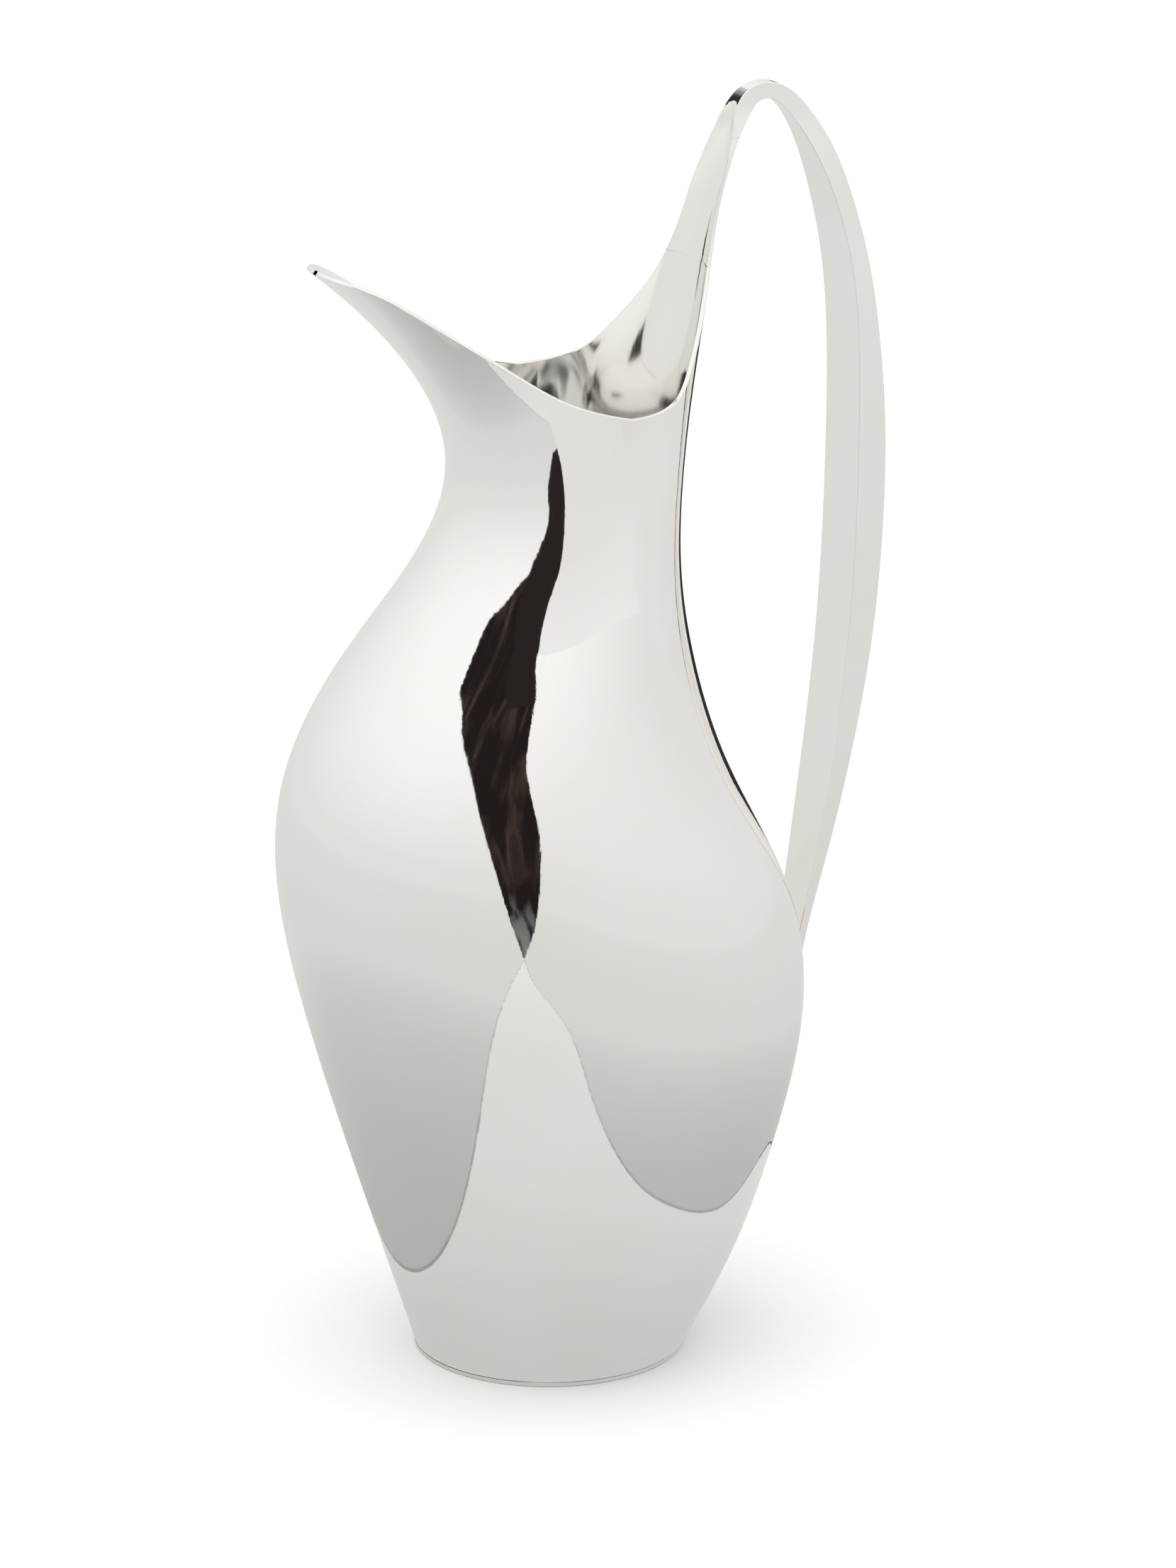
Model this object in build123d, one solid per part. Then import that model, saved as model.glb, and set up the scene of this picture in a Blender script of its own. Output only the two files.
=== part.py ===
from build123d import *
import math
import os

import numpy as np

os.makedirs("parts", exist_ok=True)

# Millimetres, +Z up, spout towards -X, handle towards +X, mirror plane y = 0.

# Sheet and joints
wall = 1.3  # body sheet
plate_thick = 1.5  # base plate
plate_edge = 0.8  # rounded lower edge of the base plate
strip_thick = 0.8  # sheet of the hollow handle
tongue_top = 346.0  # height at which the body's rear tongue meets the handle
tongue_front = 30.0  # x behind which the rear tongue is trimmed to its own width

# Body: section heights, then the front and back profiles, half widths and how egg-shaped they are
section_z = [0, 30, 65, 100, 135, 170, 205, 235, 260, 278, 294, 310, 326, 338, 350]
front_x = [-38, -47.3, -58.4, -69, -77, -76, -58.2, -36.8, -29.1, -33.5, -43.8, -58.6, -77.4, -92.6, -107.8]
back_x = [38, 53.3, 65.6, 73, 67.8, 50.6, 38.9, 33.8, 35.4, 39.4, 43.4, 47.1, 50.6, 53.9, 59.6]
half_y = [38, 50.8, 61.4, 67.6, 67.6, 60.6, 49.1, 39.8, 35.3, 34.5, 35.4, 37.6, 41, 49, 60]
egg = [0, 0, 0, 0, 0, 0, 0.05, 0.22, 0.27, 0.18, 0.09, -0.02, -0.13, -0.13, -0.1]
lofted_sections = 26
points_per_half_section = 13

# Rim: side profile over the spout and saddle, running up inside the rear tongue (x, z),
# then half width of that tongue (y, z)
rim_side = [
    (-73, 321.3),
    (-60, 316.6),
    (-44, 306.1),
    (-27, 294.6),
    (-10, 283.9),
    (8, 278.4),
    (21, 279.7),
    (32, 288),
    (34.4, 292.5),
    (35.3, 298),
]
tongue_side = [(25.2, 288), (19.9, 296), (14.2, 306.3), (10.6, 316), (8.6, 326), (7.4, 338), (5.8, tongue_top)]

# Handle: inner edge (x, z), outer edge (x, z), inner half width, outer half width
handle_stations = [
    (57.0, tongue_top, 54.8, tongue_top, 5.8, 5.8),
    (58.6, 348.4, 55.5, 349.2, 4.9, 4.9),
    (60.4, 350.4, 56.6, 352.2, 4.0, 3.8),
    (62.3, 352.5, 58.4, 355.5, 3.2, 2.9),
    (64.4, 354.6, 61.9, 358.7, 2.7, 2.4),
    (67.2, 355.4, 66.8, 360.0, 2.5, 2.2),
    (70.6, 354.3, 72.7, 358.6, 2.6, 2.3),
    (75.9, 348.5, 80.3, 351.7, 3.5, 3.1),
    (80.7, 340.3, 86.0, 342.7, 5.4, 4.8),
    (87.1, 324.0, 92.5, 325.7, 7.9, 7.0),
    (91.2, 307.5, 97.1, 308.6, 9.0, 8.0),
    (93.6, 282.9, 101.2, 283.2, 9.4, 8.3),
    (93.8, 258.2, 103.1, 258.1, 9.5, 8.4),
    (93.2, 233.6, 102.8, 233.1, 9.6, 8.4),
    (91.2, 200.5, 100.0, 199.7, 9.5, 8.2),
    (87.2, 167.4, 94.3, 166.4, 8.9, 7.5),
    (81.8, 134.0, 86.4, 133.2, 7.7, 6.3),
    (77.9, 112.0, 80.8, 111.2, 6.4, 5.2),
    (74.2, 97.0, 76.9, 95.6, 5.4, 4.4),
    (66.5, 82.0, 68.5, 79.5, 4.6, 3.8),
]
channel_stations = 4  # the first stations carry the pointed front channel
channel_recess = [0.45, 0.9, 0.9, 0.0]  # depth of the channel's middle line at each of them


def smooth(at, values):
    """A natural cubic curve through the values, as a function."""
    at = np.array(at, float)
    values = np.array(values, float)
    gap = np.diff(at)
    slope = np.diff(values) / gap
    system = np.eye(len(at))
    right = np.zeros(len(at))
    for i in range(1, len(at) - 1):
        system[i, i - 1 : i + 2] = gap[i - 1], 2 * (gap[i - 1] + gap[i]), gap[i]
        right[i] = 6 * (slope[i] - slope[i - 1])
    bend = np.linalg.solve(system, right)

    def value(x):
        i = min(max(int(np.searchsorted(at, x)) - 1, 0), len(gap) - 1)
        a = (at[i + 1] - x) / gap[i]
        b = 1 - a
        curved = ((a**3 - a) * bend[i] + (b**3 - b) * bend[i + 1]) * gap[i] ** 2 / 6
        return a * values[i] + b * values[i + 1] + curved

    return value


front = smooth(section_z, front_x)
back = smooth(section_z, back_x)
width = smooth(section_z, half_y)
egg_shape = smooth(section_z, egg)


def inset(profile, z, depth):
    """Horizontal depth that gives a wall of the given thickness on a sloping profile."""
    slope = profile(z + 0.5) - profile(z - 0.5)
    return depth * math.hypot(1, slope)


def half_section(z, depth):
    """Closed outline of the half section at z, moved inwards by depth."""
    x_front = front(z) + inset(front, z, depth)
    x_back = back(z) - inset(back, z, depth)
    y_half = width(z) - inset(width, z, depth)
    angles = [math.pi * i / (points_per_half_section - 1) for i in range(points_per_half_section)]
    points = []
    for u in angles:
        x = x_front + (x_back - x_front) * (1 - math.cos(u)) / 2
        y = y_half * math.sin(u) * (1 - egg_shape(z) * math.cos(u))
        points.append(Vector(x, y, z))
    points[0] = Vector(x_front, 0, z)
    points[-1] = Vector(x_back, 0, z)
    start = Vector(0, y_half * (1 - egg_shape(z)), 0)
    finish = Vector(0, -y_half * (1 + egg_shape(z)), 0)
    arc = Edge.make_spline(points, tangents=[start, finish], parameters=angles, scale=False)
    return Wire([arc, Edge.make_line(points[-1], points[0])])


def half_vessel(z_low, depth):
    """Solid half of the vessel, up to the top of the rear tongue."""
    heights = np.linspace(z_low, tongue_top, lofted_sections)
    return Solid.make_loft([half_section(z, depth) for z in heights])


def above_the_rim():
    """Everything that the rim takes away from the uncut body."""
    high = 400
    far = 130
    with BuildPart() as cutter:
        with BuildSketch(Plane.XZ):
            with BuildLine():
                Spline(*rim_side)
                Polyline(rim_side[-1], (rim_side[-1][0], high), (-far, high), (-far, rim_side[0][1]), rim_side[0])
            make_face()
        extrude(amount=far, both=True)
        with BuildSketch(Plane.YZ.offset(tongue_front)):
            with BuildLine():
                Spline(*tongue_side)
                low_y, low_z = tongue_side[0]
                top_y, top_z = tongue_side[-1]
                Polyline((top_y, top_z), (top_y, high), (far, high), (far, low_z), (low_y, low_z))
            make_face()
        extrude(amount=far)
    return cutter.part


def strip(rows):
    """Solid from one closed ring of corner points per station, with ruled faces between the rings."""
    corners = len(rows[0])
    rails = [Edge.make_spline([Vector(*row[i]) for row in rows]) for i in range(corners)]
    faces = [Face.make_surface_from_curves(rails[i], rails[(i + 1) % corners]) for i in range(corners)]
    for row in (rows[0], rows[-1]):
        faces.append(Face(Wire.make_polygon([Vector(*point) for point in row], close=True)))
    return Solid(Shell(faces))


def station_point(station, depth, inboard, side):
    """Point at a depth outwards from the inner edge, moved inboard from the given side's edge."""
    xi, zi, xo, zo, hi, ho = station
    reach = math.hypot(xo - xi, zo - zi)
    t = depth / reach
    y = hi + (ho - hi) * t - inboard
    return (xi + (xo - xi) * t, side * y, zi + (zo - zi) * t)


def reach_of(station):
    xi, zi, xo, zo, hi, ho = station
    return math.hypot(xo - xi, zo - zi)


def inner_strip():
    rows = []
    for s in handle_stations:
        rows.append([
            station_point(s, 0, 0, 1),
            station_point(s, 0, 0, -1),
            station_point(s, strip_thick, 0, -1),
            station_point(s, strip_thick, 0, 1),
        ])
    return strip(rows)


def outer_strip():
    rows = []
    for s in handle_stations[channel_stations - 1 :]:
        top = reach_of(s)
        rows.append([
            station_point(s, top - strip_thick, 0, 1),
            station_point(s, top - strip_thick, 0, -1),
            station_point(s, top, 0, -1),
            station_point(s, top, 0, 1),
        ])
    return strip(rows)


def front_channel():
    rows = []
    for s, recess in zip(handle_stations[:channel_stations], channel_recess):
        top = reach_of(s)
        low = top - strip_thick
        half_low = station_point(s, low - recess, 0, 1)[1]
        half_top = station_point(s, top - recess, 0, 1)[1]
        rows.append([
            station_point(s, low, 0, 1),
            station_point(s, low - recess, half_low, 1),
            station_point(s, low, 0, -1),
            station_point(s, top, 0, -1),
            station_point(s, top - recess, half_top, 1),
            station_point(s, top, 0, 1),
        ])
    return strip(rows)


def cheek(side):
    rows = []
    for s in handle_stations:
        low = strip_thick
        high = reach_of(s) - strip_thick
        rows.append([
            station_point(s, low, 0, side),
            station_point(s, low, strip_thick, side),
            station_point(s, high, strip_thick, side),
            station_point(s, high, 0, side),
        ])
    return strip(rows)


def base_plate():
    plate = Pos(0, 0, plate_thick / 2) * Cylinder(width(plate_thick), plate_thick)
    lower_edge = plate.edges().sort_by(Axis.Z)[0]
    return fillet(lower_edge, plate_edge)


outer_half = half_vessel(plate_thick, 0)
inner_half = half_vessel(plate_thick, wall)
right_half = (outer_half - inner_half) - above_the_rim()
left_half = mirror(right_half, about=Plane.XZ)
other_outer_half = mirror(outer_half, about=Plane.XZ)

parts = {
    "body_right_half": right_half,
    "body_left_half": left_half,
    "base_plate": base_plate(),
    "handle_inner_strip": inner_strip() - outer_half - other_outer_half,
    "handle_outer_strip": outer_strip() - outer_half - other_outer_half,
    "handle_front_channel": front_channel(),
    "handle_right_cheek": cheek(1) - outer_half,
    "handle_left_cheek": cheek(-1) - other_outer_half,
}
for name, shape in parts.items():
    export_step(shape, f"parts/{name}.step")
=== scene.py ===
import math

import bpy
import numpy as np
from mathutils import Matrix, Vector


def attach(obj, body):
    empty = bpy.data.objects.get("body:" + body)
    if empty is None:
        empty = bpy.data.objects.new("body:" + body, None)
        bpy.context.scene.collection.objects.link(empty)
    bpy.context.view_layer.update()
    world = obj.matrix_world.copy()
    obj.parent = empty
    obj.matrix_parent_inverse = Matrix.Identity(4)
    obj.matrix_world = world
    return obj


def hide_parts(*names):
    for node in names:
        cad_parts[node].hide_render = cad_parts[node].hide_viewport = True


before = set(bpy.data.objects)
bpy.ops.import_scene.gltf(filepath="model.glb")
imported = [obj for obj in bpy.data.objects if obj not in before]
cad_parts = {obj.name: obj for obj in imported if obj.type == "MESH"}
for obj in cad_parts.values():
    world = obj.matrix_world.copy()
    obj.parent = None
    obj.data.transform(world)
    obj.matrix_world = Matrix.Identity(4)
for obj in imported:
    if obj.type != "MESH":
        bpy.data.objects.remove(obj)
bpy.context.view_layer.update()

# Lengths in the shape code are millimetres, as in the part; meshes are written in metres.
MM = 0.001

# ---------------------------------------------------------------- driving dimensions
wall = 1.3
plate_thick = 1.5
plate_edge = 0.8
strip_thick = 0.8
rim_round = 0.35  # rounding of the polished rim
edge_round = 0.3  # rounding of the handle's long edges
limb_start = 312.0  # where the rim's two sides run parallel and the limb begins

section_z = [0, 30, 65, 100, 135, 170, 205, 235, 260, 278, 294, 310, 326, 338, 350]
front_x = [-38, -47.3, -58.4, -69, -77, -76, -58.2, -36.8, -29.1, -33.5, -43.8, -58.6, -77.4, -92.6,
           -107.8]
back_x = [38, 53.3, 65.6, 73, 67.8, 50.6, 38.9, 33.8, 35.4, 39.4, 43.4, 47.1, 50.6, 53.9, 59.6]
half_y = [38, 50.8, 61.4, 67.6, 67.6, 60.6, 49.1, 39.8, 35.3, 34.5, 35.4, 37.6, 41, 49, 60]
egg = [0, 0, 0, 0, 0, 0, 0.05, 0.22, 0.27, 0.18, 0.09, -0.02, -0.13, -0.13, -0.1]

saddle = (8, 278.4)  # lowest point of the rim (x, z)
rim_front = [(-73, 321.3), (-60, 316.6), (-44, 306.1), (-27, 294.6), (-10, 283.9), saddle]
rim_rear = [(21, 279.7), (32, 288)]
tongue_side = [(25.2, 288), (19.9, 296), (14.2, 306.3), (10.6, 316), (8.6, 326), (7.4, 338), (5.8, 346)]

# Limb above the tongue: inner edge (x, z), outer edge (x, z), inner and outer half width,
# bulge of the inner face, depth of the front channel
limb_stations = [
    (57.4, 346.0, 54.4, 346.0, 5.8, 5.7, 0.5, 1.5),
    (58.9, 348.2, 55.6, 349.2, 4.9, 4.85, 0.3, 1.4),
    (60.5, 350.3, 56.6, 352.2, 4.0, 3.8, 0.12, 1.0),
    (62.3, 352.5, 58.4, 355.5, 3.2, 2.9, 0, 0),
    (64.4, 354.6, 61.9, 358.7, 2.7, 2.4, 0, 0),
    (67.2, 355.4, 66.8, 360.0, 2.5, 2.2, 0, 0),
    (70.6, 354.3, 72.7, 358.6, 2.6, 2.3, 0, 0),
    (75.9, 348.5, 80.3, 351.7, 3.5, 3.1, 0, 0),
    (80.7, 340.3, 86.0, 342.7, 5.4, 4.8, 0, 0),
    (87.1, 324.0, 92.5, 325.7, 7.9, 7.0, 0, 0),
    (91.2, 307.5, 97.1, 308.6, 9.0, 8.0, 0, 0),
    (93.6, 282.9, 101.2, 283.2, 9.4, 8.3, 0, 0),
    (93.8, 258.2, 103.1, 258.1, 9.5, 8.4, 0, 0),
    (93.2, 233.6, 102.8, 233.1, 9.6, 8.4, 0, 0),
    (91.2, 200.5, 100.0, 199.7, 9.5, 8.2, 0, 0),
    (87.2, 167.4, 94.3, 166.4, 8.9, 7.5, 0, 0),
    (81.8, 134.0, 86.4, 133.2, 7.7, 6.3, 0, 0),
    (77.9, 112.0, 80.8, 111.2, 6.4, 5.2, 0, 0),
    (74.2, 97.0, 76.9, 95.6, 5.4, 4.4, 0, 0),
    (66.5, 82.0, 68.5, 79.5, 4.6, 3.8, 0, 0),
]
# Stations of the whole limb, counted from its start with the tongue's own seven rows first
tongue_heights = [302.0, 307.0, limb_start, 319.0, 326.0, 332.0, 338.0]
first_station = 2  # where the limb's mesh begins; the two rows before it only steer its curves
lip_start = 4
tongue_last = 6
handle_start = 7
lip_widest = 8
channel_tip = 10
bend_end = 13
# Rounded lips of the channel: their width and slope at some of these stations
width_stations = [lip_start, tongue_last, handle_start, lip_widest, channel_tip]
lip_widths = [0.45, 0.6, 1.3, 1.5, 1.0]
slope_stations = [lip_start, handle_start, channel_tip]
lip_slopes = [0.5, 0.35, 0]
root_top = 150.0  # below this height the handle's root sinks into the body's wall

# Mesh density
rows_below_rim = 130
rows_at_rim = 46
columns_front = 56
columns_rear = 48
limb_step = 1.1
bend_rows = 40
face_columns = 9  # across half of a face of the limb
round_points = 6  # round an edge
cheek_column = face_columns + (round_points - 1) // 2
front_column = face_columns + round_points - 1 + round_points // 2
plate_turns = 181
plate_round_points = 9
weld_decimals = 4  # of a millimetre

# Camera: standing in front of the spout side, looking slightly down
camera_turn = math.radians(28)
camera_dip = math.radians(17.583)
camera_place = Vector((-1.00157, -1.90749, 0.84872))
camera_lens = 185.36
camera_sensor = 36.0
camera_far = 50.0  # metres, past the far corners of the floor


# ---------------------------------------------------------------- curves and body surface
def smooth(at, values):
    """A natural cubic curve through the values, as a function of an array."""
    at = np.array(at, float)
    values = np.array(values, float)
    gap = np.diff(at)
    slope = np.diff(values) / gap
    system = np.eye(len(at))
    right = np.zeros(len(at))
    for i in range(1, len(at) - 1):
        system[i, i - 1 : i + 2] = gap[i - 1], 2 * (gap[i - 1] + gap[i]), gap[i]
        right[i] = 6 * (slope[i] - slope[i - 1])
    bend = np.linalg.solve(system, right)

    def value(x):
        x = np.asarray(x, float)
        i = np.clip(np.searchsorted(at, x) - 1, 0, len(gap) - 1)
        a = (at[i + 1] - x) / gap[i]
        b = 1 - a
        curved = ((a**3 - a) * bend[i] + (b**3 - b) * bend[i + 1]) * gap[i] ** 2 / 6
        return a * values[i] + b * values[i + 1] + curved

    return value


front = smooth(section_z, front_x)
back = smooth(section_z, back_x)
width = smooth(section_z, half_y)
egg_shape = smooth(section_z, egg)


def body_point(u, z):
    """Outer surface of the +Y half: u runs from 0 at the spout side to pi at the handle side."""
    x = front(z) + (back(z) - front(z)) * (1 - np.cos(u)) / 2
    y = width(z) * np.sin(u) * (1 - egg_shape(z) * np.cos(u))
    return np.stack(np.broadcast_arrays(x, y, z), -1)


def unit(vectors):
    return vectors / np.linalg.norm(vectors, axis=-1, keepdims=True)


def body_normal(u, z):
    du = 0.001
    dz = 0.05
    across = body_point(u + du, z) - body_point(u - du, z)
    up = body_point(u, z + dz) - body_point(u, z - dz)
    return unit(np.cross(up, across))


def angle_at_x(x, z):
    """Section angle u at which the outer surface has the given x."""
    share = 2 * (x - front(z)) / (back(z) - front(z))
    return np.arccos(np.clip(1 - share, -1, 1))


def angle_at_y(y, z):
    """Section angle u on the handle side at which the outer surface has the given y."""
    v = np.arcsin(np.clip(y / width(z), 0, 1))
    for _ in range(12):
        v = np.arcsin(np.clip(y / (width(z) * (1 + egg_shape(z) * np.cos(v))), 0, 1))
    return math.pi - v


# ---------------------------------------------------------------- rim
def front_rim_angle():
    """Rim angle over the spout as a function of height, and the height of the tip."""
    points = np.array(rim_front)
    steps = np.linspace(0, 1, len(points))
    fine = np.linspace(0, 1, 2001)
    rim_x = smooth(steps, points[:, 0])(fine)
    rim_z = smooth(steps, points[:, 1])(fine)
    inside = rim_x >= front(rim_z)
    rim_x = rim_x[inside]
    rim_z = rim_z[inside]
    order = np.argsort(rim_z)
    tip = rim_z.max()
    return (lambda z: angle_at_x(np.interp(z, rim_z[order], rim_x[order]), z)), tip


def rear_rim_angle():
    """Rim angle from the saddle up the rear tongue, smooth in the square root of the height."""
    heights = [saddle[1]] + [z for x, z in rim_rear] + [z for y, z in tongue_side[1:]]
    angles = [angle_at_x(saddle[0], saddle[1])] + [angle_at_x(x, z) for x, z in rim_rear]
    angles += [angle_at_y(y, z) for y, z in tongue_side[1:]]
    curve = smooth(np.sqrt(np.array(heights) - saddle[1]), angles)
    return lambda z: curve(np.sqrt(np.maximum(z - saddle[1], 0)))


# ---------------------------------------------------------------- meshes
def bezier(a, b, c, count):
    t = np.linspace(0, 1, count)[:, None]
    return (1 - t) ** 2 * a[..., None, :] + 2 * t * (1 - t) * b[..., None, :] + t**2 * c[..., None, :]


def mirrored(patch):
    flip = np.array([1, -1, 1])
    return patch[0] * flip, patch[1] * flip


def wall_between(first, second, normal):
    """Flat strip between two edge lines of points."""
    points = np.stack([first, second])
    return points, np.broadcast_to(np.array(normal, float), points.shape)


def join_patches(patches, lined):
    """All grids as one list of points, quads and normals, and a 1 for each quad of a lined grid."""
    points = []
    faces = []
    normals = []
    owners = []
    start = 0
    for number, (grid, grid_normal) in enumerate(patches):
        rows, columns = grid.shape[:2]
        index = np.arange(rows * columns).reshape(rows, columns)
        corners = [index[:-1, :-1], index[:-1, 1:], index[1:, 1:], index[1:, :-1]]
        quads = np.stack(corners, -1).reshape(-1, 4)
        flat = grid.reshape(-1, 3)
        flat_normal = np.reshape(grid_normal, (-1, 3))
        geometric = np.cross(flat[quads[:, 2]] - flat[quads[:, 0]], flat[quads[:, 3]] - flat[quads[:, 1]])
        wrong = (geometric * flat_normal[quads].sum(1)).sum(1) < 0
        quads[wrong] = quads[wrong][:, ::-1]
        points.append(flat)
        faces.append(quads + start)
        normals.append(flat_normal)
        owners.extend([int(number in lined)] * len(quads))
        start += len(flat)
    return np.concatenate(points), np.concatenate(faces), np.concatenate(normals), owners


def make_piece(name, patches, nodes, material, lining=None, lined=()):
    """One welded mesh from grids of points with their own smooth normals."""
    points, faces, normals, owners = join_patches(patches, lined)
    rounded = points.round(weld_decimals)
    _, keep, merged = np.unique(rounded, axis=0, return_index=True, return_inverse=True)
    merged = merged.reshape(-1)
    polygons = []
    corner_normals = []
    material_numbers = []
    for quad, owner in zip(faces, owners):
        corners = merged[quad]
        distinct = [i for i in range(4) if corners[i] != corners[i - 1]]
        if len(set(corners[distinct])) < 3:
            continue
        polygons.append([int(corners[i]) for i in distinct])
        material_numbers.append(owner)
        corner_normals.extend(normals[quad[i]] for i in distinct)
    mesh = bpy.data.meshes.new(name)
    mesh.from_pydata((points[keep] * MM).tolist(), [], polygons)
    mesh.polygons.foreach_set("use_smooth", [True] * len(mesh.polygons))
    mesh.normals_split_custom_set([tuple(n) for n in corner_normals])
    piece = bpy.data.objects.new(name, mesh)
    bpy.context.scene.collection.objects.link(piece)
    mesh.materials.append(material)
    if lining:
        mesh.materials.append(lining)
        mesh.polygons.foreach_set("material_index", material_numbers)
    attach(piece, "root")
    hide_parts(*nodes)


# ---------------------------------------------------------------- body
def rim_band(edge, normal, last_way=None):
    """Rounded band closing the sheet along a rim line, from its outer to its inner edge.

    A last_way gives the line's direction at its last point, where it meets its own mirror image.
    """
    tangent = unit(np.gradient(edge, axis=0))
    if last_way is not None:
        tangent[-1] = last_way
    out = unit(np.cross(tangent, normal))
    if out[len(out) // 2][2] < 0:
        out = -out
    outer_corner = edge + out * rim_round
    inner = edge - normal * wall
    inner_corner = inner + out * rim_round
    first = bezier(edge, outer_corner, outer_corner - normal * rim_round, round_points)
    last = bezier(inner_corner + normal * rim_round, inner_corner, inner, round_points)
    points = np.concatenate([first, last], axis=1)
    t = np.linspace(0, 1, round_points)[:, None]
    turn_in = unit((1 - t) * normal[:, None, :] + t * out[:, None, :])
    turn_out = unit((1 - t) * out[:, None, :] - t * normal[:, None, :])
    return points, np.concatenate([turn_in, turn_out], axis=1)


def body_patches():
    """Grids of the +Y half of the vessel up to the start of the limb."""
    front_angle, tip = front_rim_angle()
    rear_angle = rear_rim_angle()
    low = saddle[1]
    split = float(angle_at_x(saddle[0], low))
    z_low = np.linspace(plate_thick, low, rows_below_rim)[:, None]
    s_front = np.linspace(0, 1, columns_front)[None, :]
    s_rear = np.linspace(0, 1, columns_rear)[None, :]
    p = np.linspace(0, 1, rows_at_rim)
    z_front = (low + (tip - low) * np.sin(math.pi * p / 2) ** 2)[:, None]
    z_rear = (low + (limb_start - low) * p**2)[:, None]
    fields = [
        (split * s_front, z_low),
        (split + (math.pi - split) * s_rear, z_low),
        (s_front * front_angle(z_front), z_front),
        (math.pi - (1 - s_rear) * (math.pi - rear_angle(z_rear)), z_rear),
    ]
    outer = []
    for u, z in fields:
        u, z = np.broadcast_arrays(u, z)
        outer.append((body_point(u, z), body_normal(u, z)))
    inner = [(points - normal * wall, -normal) for points, normal in outer]
    patches = outer + inner
    patches.append(rim_band(outer[2][0][:, -1], outer[2][1][:, -1], (0, -1, 0)))
    patches.append(rim_band(outer[3][0][:, 0], outer[3][1][:, 0]))
    for k in (0, 1):
        patches.append(wall_between(outer[k][0][0], inner[k][0][0], (0, 0, -1)))
    for k, column in ((0, 0), (2, 0), (1, -1), (3, -1)):
        patches.append(wall_between(outer[k][0][:, column], inner[k][0][:, column], (0, -1, 0)))
    return patches


# ---------------------------------------------------------------- limb: tongue, channel and handle
def tongue_stations():
    """The sheet tongue as limb stations, its bulge taken from the body's own sections."""
    rear_angle = rear_rim_angle()
    side = smooth([z for y, z in tongue_side], [y for y, z in tongue_side])
    sheet = wall - 0.02
    taper = 0.1
    dish = 0.05
    rows = []
    for z in tongue_heights:
        half = float(side(z)) + rim_round * 0.5
        edge_x = float(body_point(rear_angle(z), z)[0])
        bulge = float(back(z)) - edge_x
        rows.append((float(back(z)), z, edge_x - sheet, z, half, half - taper, bulge, bulge - dish))
    return rows


def limb_rows():
    """Where the limb's sections lie along it, the stations' own places, and the eight shape values."""
    stations = np.array(tongue_stations() + limb_stations)
    middle = (stations[:, 0:2] + stations[:, 2:4]) / 2
    at = np.concatenate([[0], np.cumsum(np.linalg.norm(np.diff(middle, axis=0), axis=1))])
    start = at[first_station]
    count = int((at[-1] - start) / limb_step)
    bend = np.linspace(at[handle_start], at[bend_end], bend_rows)
    t = np.sort(np.concatenate([np.linspace(start, at[-1], count), bend]))
    return t, at, [smooth(at, stations[:, i])(t) for i in range(8)]


def section_points(depth, y):
    return np.stack(np.broadcast_arrays(depth, y), -1)


def limb_grid():
    """Half sections along the limb, and the rows where the handle starts and its channel ends."""
    t, at, (xi, zi, xo, zo, hi, ho, bulge, recess) = limb_rows()
    bulge = np.maximum(bulge, 0)
    recess = np.maximum(recess, 0)
    recess[t >= at[channel_tip]] = 0
    bulge[t >= at[channel_tip]] = 0
    inner = np.stack([xi, zi], 1)
    reach = np.stack([xo, zo], 1) - inner
    depth = np.linalg.norm(reach, axis=1)
    lip = np.interp(t, at[width_stations], lip_widths)
    lip_drop = lip * np.interp(t, at[slope_stations], lip_slopes)
    column = np.linspace(0, 1, face_columns)[None, :]

    rear_y = (hi - edge_round)[:, None] * column
    rear = section_points(bulge[:, None] * (rear_y / hi[:, None]) ** 2, rear_y)
    corner_rear = np.stack([bulge, hi], 1)
    corner_front = np.stack([depth, ho], 1)
    lip_end = np.stack([depth - lip_drop, ho - lip], 1)
    side_way = unit(corner_front - corner_rear) * edge_round
    lip_way = unit(lip_end - corner_front) * edge_round
    first = bezier(rear[:, -1], corner_rear, corner_rear + side_way, round_points)
    second = bezier(corner_front - side_way, corner_front, corner_front + lip_way, round_points)
    floor_y = lip_end[:, 1:2] * (1 - column)
    floor_depth = (depth - recess)[:, None]
    rise = (recess - lip_drop)[:, None]
    floor = section_points(floor_depth + rise * (floor_y / lip_end[:, 1:2]) ** 2, floor_y)

    half = np.concatenate([rear, first[:, 1:], second, floor], axis=1)
    way = unit(reach)
    x = inner[:, 0:1] + way[:, 0:1] * half[..., 0]
    z = inner[:, 1:2] + way[:, 1:2] * half[..., 0]
    points = sink_into_body(np.stack([x, half[..., 1], z], -1))
    rows = [int(np.argmin(abs(t - at[station]))) for station in (handle_start, channel_tip)]
    return points, rows


def sink_into_body(points):
    """Keeps the root of the handle within the thickness of the body's wall."""
    z = np.minimum(points[..., 2], root_top)
    y = points[..., 1]
    v = math.pi - angle_at_y(abs(y), z)
    surface = front(z) + (back(z) - front(z)) * (1 + np.cos(v)) / 2
    buried = surface - wall / 2
    low = points[..., 2] < root_top
    points[..., 0] = np.where(low, np.maximum(points[..., 0], buried), points[..., 0])
    return points


def limb_normals(points):
    """Normals of the half sections, mirrored across y = 0 so that the middle lines stay smooth."""
    flip = np.array([1, -1, 1])
    padded = np.concatenate([points[:, 1:2] * flip, points, points[:, -2:-1] * flip], axis=1)
    along = np.gradient(points, axis=0)
    before = padded[:, 1:-1] - padded[:, :-2]
    after = padded[:, 2:] - padded[:, 1:-1]
    across = before + after
    return unit(np.cross(across, along))


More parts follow.
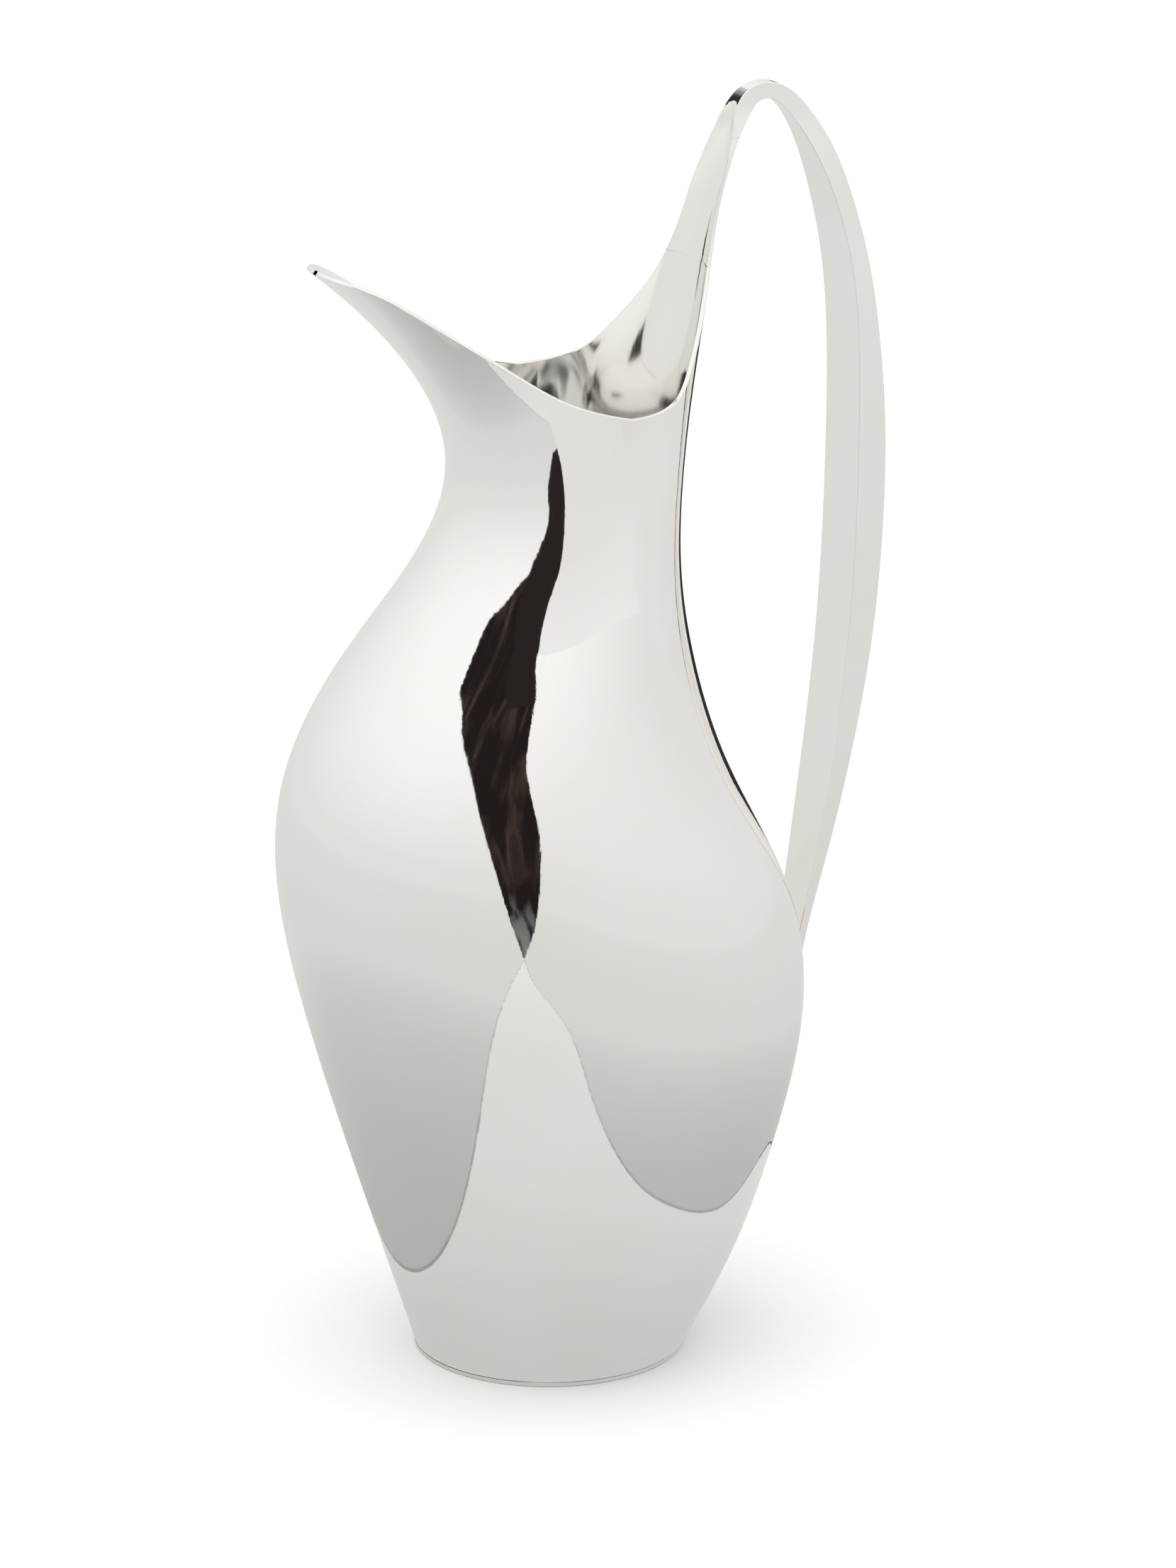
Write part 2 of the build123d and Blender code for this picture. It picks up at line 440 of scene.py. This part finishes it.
def both_sides(patch, starts_at_middle):
    """A patch of the limb together with its mirror image, as one grid across y = 0."""
    other = mirrored(patch)
    if starts_at_middle:
        return tuple(np.concatenate([b[:, :0:-1], a], axis=1) for a, b in zip(patch, other))
    return tuple(np.concatenate([a, b[:, -2::-1]], axis=1) for a, b in zip(patch, other))


def thick_patch(patch, depth):
    """A sheet piece: its outer grid, an inner copy, and walls round the border."""
    points, normals = patch
    inner = points - normals * depth
    patches = [(points, normals), (inner, -normals)]
    along = unit(np.gradient(points, axis=0))
    across = unit(np.gradient(points, axis=1))
    for line, back_line, way in (
        (points[0], inner[0], -along[0]),
        (points[-1], inner[-1], along[-1]),
        (points[:, 0], inner[:, 0], -across[:, 0]),
        (points[:, -1], inner[:, -1], across[:, -1]),
    ):
        grid = np.stack([line, back_line])
        patches.append((grid, np.stack([way, way])))
    return patches


# ---------------------------------------------------------------- base plate
def plate_patches():
    """A disc with a rounded lower edge, turned about Z."""
    radius = float(width(plate_thick))
    joint = 0.12  # hairline between the disc's top and the foot
    profile = [(0, 0, 0, -1)]
    for a in np.linspace(-math.pi / 2, 0, plate_round_points):
        r = radius - plate_edge + plate_edge * math.cos(a)
        profile.append((r, plate_edge + plate_edge * math.sin(a), math.cos(a), math.sin(a)))
    profile = np.array(profile)[None, :, :]
    turn = np.linspace(0, 2 * math.pi, plate_turns)[:, None]

    def turned(r, z):
        return np.stack(np.broadcast_arrays(r * np.cos(turn), r * np.sin(turn), z), -1)

    points = turned(profile[..., 0], profile[..., 1])
    normals = turned(profile[..., 2], profile[..., 3])
    rim_low = points[:, -1]
    rim_high = rim_low + np.array([0, 0, plate_thick - plate_edge - joint])
    middle = rim_high * np.array([0, 0, 1])
    side = normals[:, -1]
    up = np.broadcast_to(np.array([0.0, 0.0, 1.0]), rim_high.shape)
    return [
        (points, normals),
        (np.stack([rim_low, rim_high], 1), np.stack([side, side], 1)),
        (np.stack([rim_high, middle], 1), np.stack([up, up], 1)),
    ]


# ---------------------------------------------------------------- shader nodes
def new_material(name):
    material = bpy.data.materials.new(name)
    material.use_nodes = True
    nodes = material.node_tree.nodes
    nodes.clear()
    output = nodes.new("ShaderNodeOutputMaterial")
    return material, nodes, material.node_tree.links, output


def object_place(nodes):
    return nodes.new("ShaderNodeTexCoord").outputs["Object"]


def map_range(nodes, links, value, low, high, low_out=0.0, high_out=1.0):
    scale = nodes.new("ShaderNodeMapRange")
    scale.inputs["From Min"].default_value = low
    scale.inputs["From Max"].default_value = high
    scale.inputs["To Min"].default_value = low_out
    scale.inputs["To Max"].default_value = high_out
    links.new(value, scale.inputs["Value"])
    return scale.outputs["Result"]


def along_axis(nodes, links, axis, low, high):
    """Runs from 0 to 1 as the place along an axis goes from low to high, in metres."""
    parts = nodes.new("ShaderNodeSeparateXYZ")
    links.new(object_place(nodes), parts.inputs["Vector"])
    return map_range(nodes, links, parts.outputs[axis], low, high)


def noise(nodes, links, scale, detail, stretch=None, distortion=0.0):
    """Noise over the object's own space, which stretch scales along each axis."""
    texture = nodes.new("ShaderNodeTexNoise")
    texture.inputs["Scale"].default_value = scale
    texture.inputs["Detail"].default_value = detail
    texture.inputs["Distortion"].default_value = distortion
    place = object_place(nodes)
    if stretch:
        mapping = nodes.new("ShaderNodeMapping")
        mapping.inputs["Scale"].default_value = stretch
        links.new(place, mapping.inputs["Vector"])
        place = mapping.outputs["Vector"]
    links.new(place, texture.inputs["Vector"])
    return texture.outputs["Fac"]


def two_tones(nodes, links, share, low, high, low_at=0.0, high_at=1.0):
    """Blends from one colour to another between two values of share."""
    tone = nodes.new("ShaderNodeValToRGB")
    first, last = tone.color_ramp.elements
    first.position = low_at
    last.position = high_at
    first.color = (*low, 1)
    last.color = (*high, 1)
    links.new(share, tone.inputs["Fac"])
    return tone.outputs["Color"]


def emission(nodes, links, colour):
    shader = nodes.new("ShaderNodeEmission")
    links.new(colour, shader.inputs["Color"])
    return shader.outputs["Emission"]


# ---------------------------------------------------------------- silver
silver_tint = (0.94, 0.93, 0.915)
mirror_polish = (0.02, 0.05)  # least and greatest roughness
tarnish = (0.975, 0.97, 0.96)  # share of the tint left where the silver is dullest
cloud_scale = 22.0
scratch_depth = 0.00002


def polished_silver(name, tint, roughness, scratch, streak_scale):
    """Mirror-polished silver: cloudy roughness, fine polishing marks and a breath of tarnish."""
    material, nodes, links, output = new_material(name)
    shader = nodes.new("ShaderNodeBsdfPrincipled")
    shader.inputs["Metallic"].default_value = 1.0
    cloud = noise(nodes, links, cloud_scale, 4.0)
    streaks = noise(nodes, links, 1.0, 3.0, streak_scale)

    grain = nodes.new("ShaderNodeMath")
    grain.operation = "MULTIPLY"
    links.new(cloud, grain.inputs[0])
    links.new(streaks, grain.inputs[1])
    rough = map_range(nodes, links, grain.outputs["Value"], 0.15, 0.4, *roughness)
    links.new(rough, shader.inputs["Roughness"])

    dull = [channel * share for channel, share in zip(tint, tarnish)]
    colour = two_tones(nodes, links, cloud, dull, tint, 0.35, 0.7)
    links.new(colour, shader.inputs["Base Color"])

    bump = nodes.new("ShaderNodeBump")
    bump.inputs["Strength"].default_value = scratch
    bump.inputs["Distance"].default_value = scratch_depth
    links.new(streaks, bump.inputs["Height"])
    links.new(bump.outputs["Normal"], shader.inputs["Normal"])
    links.new(shader.outputs["BSDF"], output.inputs["Surface"])
    return material


# ---------------------------------------------------------------- studio materials
def plain_floor():
    """Matt white table with the slightest unevenness."""
    material, nodes, links, output = new_material("white_table")
    shader = nodes.new("ShaderNodeBsdfDiffuse")
    uneven = nodes.new("ShaderNodeTexNoise")
    uneven.inputs["Scale"].default_value = 3.0
    colour = two_tones(nodes, links, uneven.outputs["Fac"], (0.93, 0.925, 0.92), (0.95, 0.947, 0.945))
    links.new(colour, shader.inputs["Color"])
    links.new(shader.outputs["BSDF"], output.inputs["Surface"])
    return material


def glow(name, colour):
    material, nodes, links, output = new_material(name)
    shader = nodes.new("ShaderNodeEmission")
    shader.inputs["Color"].default_value = (*colour, 1)
    links.new(shader.outputs["Emission"], output.inputs["Surface"])
    return material


def glow_by_distance(name, stops):
    """Emission that changes with the distance from the origin: stops of (metres, grey)."""
    warm = (1.0, 0.992, 0.97)
    material, nodes, links, output = new_material(name)
    length = nodes.new("ShaderNodeVectorMath")
    length.operation = "LENGTH"
    links.new(object_place(nodes), length.inputs[0])
    reach = stops[-1][0]
    share = map_range(nodes, links, length.outputs["Value"], 0, reach)
    tone = nodes.new("ShaderNodeValToRGB")
    ramp = tone.color_ramp
    while len(ramp.elements) < len(stops):
        ramp.elements.new(0.5)
    distances, greys = zip(*stops)
    for element, distance in zip(ramp.elements, distances):
        element.position = distance / reach
    for element, grey in zip(ramp.elements, greys):
        element.color = (*(grey * channel for channel in warm), 1)
    links.new(share, tone.inputs["Fac"])
    links.new(emission(nodes, links, tone.outputs["Color"]), output.inputs["Surface"])
    return material


def fading_shade():
    """Pale shade, brighter towards its foot, that fades out towards +X."""
    material, nodes, links, output = new_material("neck_shade")
    height = along_axis(nodes, links, "Z", 0.228, 0.256)
    tone = two_tones(nodes, links, height, (0.905, 0.9, 0.885), (0.80, 0.795, 0.775))
    clear = nodes.new("ShaderNodeBsdfTransparent")
    mix = nodes.new("ShaderNodeMixShader")
    links.new(along_axis(nodes, links, "X", -0.001, 0.014), mix.inputs["Fac"])
    links.new(emission(nodes, links, tone), mix.inputs[1])
    links.new(clear.outputs["BSDF"], mix.inputs[2])
    links.new(mix.outputs["Shader"], output.inputs["Surface"])
    return material


def patchy_shade():
    """Pale shade with soft dark patches, as the vessel's inside reflects itself."""
    material, nodes, links, output = new_material("inside_shade")
    patches = noise(nodes, links, 34.0, 1.5)
    tone = two_tones(nodes, links, patches, (0.12, 0.12, 0.115), (0.72, 0.71, 0.69), 0.4, 0.5)
    links.new(emission(nodes, links, tone), output.inputs["Surface"])
    return material


def shade_along_x(name, dark_x, pale_x, dark, pale):
    """Grey shade that lightens along X."""
    material, nodes, links, output = new_material(name)
    share = along_axis(nodes, links, "X", dark_x, pale_x)
    tone = two_tones(nodes, links, share, [dark] * 3, [pale] * 3)
    links.new(emission(nodes, links, tone), output.inputs["Surface"])
    return material


def dark_room_painted_reflection():
    """Painted reflection of an unlit room seen through the gap: a dark glowing card with dim shapes and a
    paler patch low down.
    """
    material, nodes, links, output = new_material("dark_room_painted_reflection")
    shapes = noise(nodes, links, 1.0, 5.0, stretch=(16, 16, 7), distortion=0.6)
    dim = two_tones(nodes, links, shapes, (0.016, 0.012, 0.011), (0.06, 0.043, 0.036), 0.5, 0.72)
    patch = two_tones(nodes, links, shapes, (0.012, 0.011, 0.011), (0.2, 0.2, 0.2), 0.47, 0.56)
    mix = nodes.new("ShaderNodeMix")
    mix.data_type = "RGBA"
    links.new(along_axis(nodes, links, "Z", 0.14, 0.05), mix.inputs["Factor"])
    links.new(dim, mix.inputs["A"])
    links.new(patch, mix.inputs["B"])
    links.new(emission(nodes, links, mix.outputs["Result"]), output.inputs["Surface"])
    return material


# ---------------------------------------------------------------- studio values
floor_half = 12.0  # metres
table_half = 1.0
sheet_far = 30.0
table_lift = 0.0003
sheet_lift = 0.001

# A pale glowing sheet, seen only in reflections, lies flat round the object, past a thin dark hem. Both are
# painted reflection: the sheet has painted shade, darker towards the object, and the hem is a painted dark
# line. The left and right parts of its inner edge, called its foot, seen from above, in mm
left_foot = [(-215, -457), (-200, -310), (-164, -159), (-128, -80), (-99, -31), (-76, 8), (-63, 34),
             (-40, 75), (0, 130)]
right_foot = [(-215, -457), (-163, -364), (-77, -286), (-28, -184), (20, -126), (53, -100), (99, -50),
              (130, -12), (150, 40), (120, 110), (0, 130)]
left_foot_points = 90
right_foot_points = 120
feet_centre = (-30.0, -60.0)
hem_width = 1.6
# Greys of the sheet by distance from the origin (metres, grey): painted shade, darker towards the object
sheet_greys_painted_shade = [(0, 0.42), (0.1, 0.49), (0.2, 0.6), (0.3, 0.72), (0.5, 0.75), (2.0, 0.8)]
# Greys of the table card, seen only in reflections: a painted reflection of the table, darker towards the
# object as painted contact shadow (metres, grey)
table_greys_painted_shadow = [(0, 0.55), (0.06, 0.64), (0.12, 0.74), (0.4, 0.85)]

# Outline of the dark gap on an upright plane in front: sideways place and height, in mm
gap_turn = math.radians(-25)  # the gap lies this way round from -Y
gap_distance = 505.0
gap_points = 80
gap_foot = 0.5  # lowest height, just above the table
gap_left = [(-6, 0), (-24, 61), (-60, 188), (-123, 330), (-213, 478), (-350, 651), (-478, 836), (-590, 960),
            (-640, 1060), (-670, 1180)]
gap_right = [(-6, 0), (57, 75), (110, 182), (129, 273), (97, 361), (59, 451), (44, 535), (30, 570),
             (-30, 612), (-90, 640), (-135, 720), (-220, 900), (-330, 1180)]

# Small cards close round the neck: (turn from -Y in degrees, height in mm) up each edge
neck_centre = (-13.0, -28.0)
neck_gap_radius = 60.0
neck_gap_left = [(-43, 236), (-53, 252), (-53, 262), (-60, 270), (-67, 277)]
neck_gap_right = [(-27, 236), (-31.5, 250), (-34.5, 259), (-31, 268), (-30, 277)]
neck_shade_radius = 25.0
neck_shade_left = [(-38, 226), (-39, 241), (-37, 246), (-34, 251), (-36, 256), (-33, 262), (-33, 276)]
neck_shade_right = [(52, 226), (52, 276)]
neck_card_rows = 24
neck_card_columns = 16

# Disc inside the vessel, seen in the walls of the mouth, in mm
inside_height = 236.0
inside_radius = 33.0
inside_sides = 48

# Outlines of flat upright cards, in metres
edge_outline = [(0.262, 0.168, 0.12), (0.2335, 0.198, 0.07), (0.205, 0.228, 0.12), (0.205, 0.228, 0.35),
                (0.262, 0.168, 0.35)]
top_outline = [(-0.04, 0.11, 0.39), (0.06, 0.11, 0.39), (0.06, 0.11, 0.45), (-0.04, 0.11, 0.45)]
streak_outline = [(0.012, 0.11, 0.282), (0.03, 0.11, 0.286), (0.036, 0.11, 0.315), (0.018, 0.11, 0.305)]


# ---------------------------------------------------------------- studio
def stage_mesh(name, points, faces, material):
    mesh = bpy.data.meshes.new(name)
    mesh.from_pydata([tuple(p) for p in points], [], faces)
    mesh.materials.append(material)
    piece = bpy.data.objects.new(name, mesh)
    bpy.context.scene.collection.objects.link(piece)
    return piece


def reflected_card(name, points, faces, material):
    """A card that is seen only in reflections."""
    card = stage_mesh(name, points, faces, material)
    card.visible_camera = False
    card.visible_diffuse = False
    card.visible_shadow = False
    card.visible_transmission = False
    card.visible_volume_scatter = False


def flat_card(name, points, material):
    reflected_card(name, points, [tuple(range(len(points)))], material)


def square(half, height):
    return [(-half, -half, height), (half, -half, height), (half, half, height), (-half, half, height)]


def curve_through(points, count):
    points = np.array(points, float)
    at = np.concatenate([[0], np.cumsum(np.linalg.norm(np.diff(points, axis=0), axis=1))])
    t = np.linspace(0, at[-1], count)
    return np.stack([smooth(at, points[:, i])(t) for i in range(2)], 1)


def arc_card(name, radius, left, right, material):
    """Upright card bent round the neck's centre, between two edges."""
    points = []
    left = curve_through(left, neck_card_rows)
    right = curve_through(right, neck_card_rows)
    for (turn_a, height_a), (turn_b, height_b) in zip(left, right):
        for share in np.linspace(0, 1, neck_card_columns):
            turn = math.radians(turn_a + (turn_b - turn_a) * share)
            height = height_a + (height_b - height_a) * share
            x = neck_centre[0] + radius * math.sin(turn)
            y = neck_centre[1] - radius * math.cos(turn)
            points.append((x * MM, y * MM, height * MM))
    faces = []
    for i in range(neck_card_rows - 1):
        for j in range(neck_card_columns - 1):
            a = i * neck_card_columns + j
            faces.append((a, a + 1, a + 1 + neck_card_columns, a + neck_card_columns))
    reflected_card(name, points, faces, material)


def make_gap_card():
    """The upright dark gap, which the belly reflects as a tall sliver."""
    sideways = np.array([math.cos(gap_turn), math.sin(gap_turn)])
    ahead = np.array([math.sin(gap_turn), -math.cos(gap_turn)])
    outline = np.concatenate([curve_through(gap_left, gap_points), curve_through(gap_right, gap_points)])
    points = []
    for side, height in outline:
        x, y = ahead * gap_distance + sideways * side
        points.append((x * MM, y * MM, max(height, gap_foot) * MM))
    n = gap_points
    faces = [(i, i + 1, n + i + 1, n + i) for i in range(n - 1)]
    # Dark glowing card seen only in reflections: the painted reflection of the unlit room
    reflected_card("gap_card", points, faces, dark_room_painted_reflection())


def ring_card(name, inner, outer, material):
    """Flat card on the table between two closed lines of points, in mm."""
    points = [(x * MM, y * MM, sheet_lift) for x, y in np.concatenate([inner, outer])]
    n = len(inner)
    faces = [(i, (i + 1) % n, n + (i + 1) % n, n + i) for i in range(n)]
    reflected_card(name, points, faces, material)


def make_sheet_cards():
    """The painted reflection of a pale sheet round the object, with painted shade darker towards it, and
    the dark hem along its foot, a painted dark line.
    """
    left = curve_through(left_foot, left_foot_points)
    right = curve_through(right_foot, right_foot_points)
    foot = np.concatenate([left, right[::-1]])
    tangent = unit(np.gradient(foot, axis=0))
    out = np.stack([tangent[:, 1], -tangent[:, 0]], 1)
    hem_edge = foot + out * hem_width
    far_edge = foot + unit(foot - np.array(feet_centre)) * sheet_far / MM
    # Dark glowing card seen only in reflections: a painted dark line along the sheet's foot
    ring_card("hem_card", foot, hem_edge, glow("sheet_hem_painted_dark_line", (0.05, 0.045, 0.04)))
    ring_card("sheet_card", hem_edge, far_edge, glow_by_distance("pale_sheet_painted_reflection", sheet_greys_painted_shade))


def make_neck_cards():
    """The near end of the dark gap, and a pale shade beside it, as the neck reflects them."""
    # Dark glowing card seen only in reflections: painted reflection of the unlit room near the neck
    room = glow("dark_room_near_painted_reflection", (0.022, 0.017, 0.015))
    arc_card("neck_gap_card", neck_gap_radius, neck_gap_left, neck_gap_right, room)
    arc_card("neck_shade_card", neck_shade_radius, neck_shade_left, neck_shade_right, fading_shade())


def make_inside_card():
    """A disc across the neck's inside, for the reflections in the mouth."""
    centre_x = float(front(inside_height) + back(inside_height)) / 2
    points = []
    for i in range(inside_sides):
        turn = 2 * math.pi * i / inside_sides
        x = centre_x + inside_radius * math.cos(turn)
        points.append((x * MM, inside_radius * math.sin(turn) * MM, inside_height * MM))
    flat_card("inside_card", points, patchy_shade())


def make_upright_cards():
    """Flat cards behind the right-hand edge, the handle's top and the tongue."""
    flat_card("edge_card", edge_outline, glow("edge_shade", (0.03, 0.028, 0.026)))
    flat_card("top_card", top_outline, shade_along_x("top_shade", 0.022, 0.058, 0.03, 0.6))
    flat_card("streak_card", streak_outline, glow("streak_shade", (0.05, 0.05, 0.05)))


def make_world():
    """Soft all-round studio light, a little brighter overhead."""
    world = bpy.data.worlds.new("studio")
    world.use_nodes = True
    bpy.context.scene.world = world
    nodes = world.node_tree.nodes
    links = world.node_tree.links
    background = nodes["Background"]
    background.inputs["Strength"].default_value = 1.0
    place = nodes.new("ShaderNodeTexCoord")
    parts = nodes.new("ShaderNodeSeparateXYZ")
    links.new(place.outputs["Generated"], parts.inputs["Vector"])
    horizon = (0.80, 0.795, 0.778)
    overhead = (1.04, 1.035, 1.02)
    tone = two_tones(nodes, links, parts.outputs["Z"], horizon, overhead, 0.0, 0.75)
    links.new(tone, background.inputs["Color"])


def soft_light(name, place, target, size, power):
    data = bpy.data.lights.new(name, "AREA")
    data.shape = "SQUARE"
    data.size = size
    data.energy = power
    lamp = bpy.data.objects.new(name, data)
    lamp.location = place
    lamp.rotation_euler = (Vector(target) - Vector(place)).to_track_quat("-Z", "Y").to_euler()
    bpy.context.scene.collection.objects.link(lamp)
    lamp.visible_glossy = False


def make_camera():
    data = bpy.data.cameras.new("camera")
    data.lens = camera_lens
    data.sensor_width = camera_sensor
    data.clip_end = camera_far
    camera = bpy.data.objects.new("camera", data)
    back_way = Vector((
        -math.sin(camera_turn) * math.cos(camera_dip),
        -math.cos(camera_turn) * math.cos(camera_dip),
        math.sin(camera_dip),
    ))
    camera.location = camera_place
    camera.rotation_euler = (-back_way).to_track_quat("-Z", "Y").to_euler()
    bpy.context.scene.collection.objects.link(camera)
    bpy.context.scene.camera = camera


def make_studio():
    stage_mesh("floor", square(floor_half, 0), [(0, 1, 2, 3)], plain_floor())
    # Glowing card seen only in reflections: painted reflection of the table, with painted shadow near the
    # object
    flat_card("table_card", square(table_half, table_lift), glow_by_distance("table_painted_reflection", table_greys_painted_shadow))
    make_gap_card()
    make_sheet_cards()
    make_neck_cards()
    make_inside_card()
    make_upright_cards()
    soft_light("overhead", (-0.3, -0.2, 2.4), (0, 0, 0), 2.4, 22)


# ---------------------------------------------------------------- assembly
lined_patches = (4, 5, 6, 7, 8, 9)  # the inside of the vessel and its rim


def make_body(limb, limb_normal, tongue_end):
    """Two halves, each a shell up to the limb and its half of the tongue."""
    silver = polished_silver("polished_silver", silver_tint, mirror_polish, 0.25, (900, 900, 60))
    lining = polished_silver("lining_silver", (0.93, 0.92, 0.905), (0.07, 0.13), 0.25, (900, 900, 60))
    right = body_patches() + [(limb[: tongue_end + 1], limb_normal[: tongue_end + 1])]
    left = [mirrored(patch) for patch in right]
    make_piece("body_right", right, ["body_right_half"], silver, lining, lined_patches)
    make_piece("body_left", left, ["body_left_half"], silver, lining, lined_patches)


def make_handle(limb, limb_normal, tongue_end, channel_end):
    """Five thin strips that together make the hollow handle."""
    silver = polished_silver("polished_strip", silver_tint, mirror_polish, 0.25, (60, 900, 60))

    def patch(rows, columns):
        return limb[rows, columns], limb_normal[rows, columns]

    handle_rows = slice(tongue_end, None)
    faces = slice(front_column, None)
    inner = both_sides(patch(handle_rows, slice(0, cheek_column + 1)), True)
    outer = both_sides(patch(slice(channel_end, None), faces), False)
    channel = both_sides(patch(slice(tongue_end, channel_end + 1), faces), False)
    cheek = patch(handle_rows, slice(cheek_column, front_column + 1))
    for name, strip, node in (
        ("handle_inner", inner, "handle_inner_strip"),
        ("handle_outer", outer, "handle_outer_strip"),
        ("handle_channel", channel, "handle_front_channel"),
    ):
        make_piece(name, thick_patch(strip, strip_thick), [node], silver)
    right_cheek = thick_patch(cheek, strip_thick)
    left_cheek = [mirrored(part) for part in right_cheek]
    make_piece("cheek_right", right_cheek, ["handle_right_cheek"], silver)
    make_piece("cheek_left", left_cheek, ["handle_left_cheek"], silver)


bpy.context.scene.view_settings.view_transform = "Standard"
make_camera()
make_world()
make_studio()

limb, (tongue_end, channel_end) = limb_grid()
limb_normal = limb_normals(limb)
make_body(limb, limb_normal, tongue_end)
make_handle(limb, limb_normal, tongue_end, channel_end)
worn_silver = polished_silver("worn_silver", (0.86, 0.85, 0.83), (0.12, 0.3), 0.6, (500, 500, 500))
make_piece("foot_plate", plate_patches(), ["base_plate"], worn_silver)
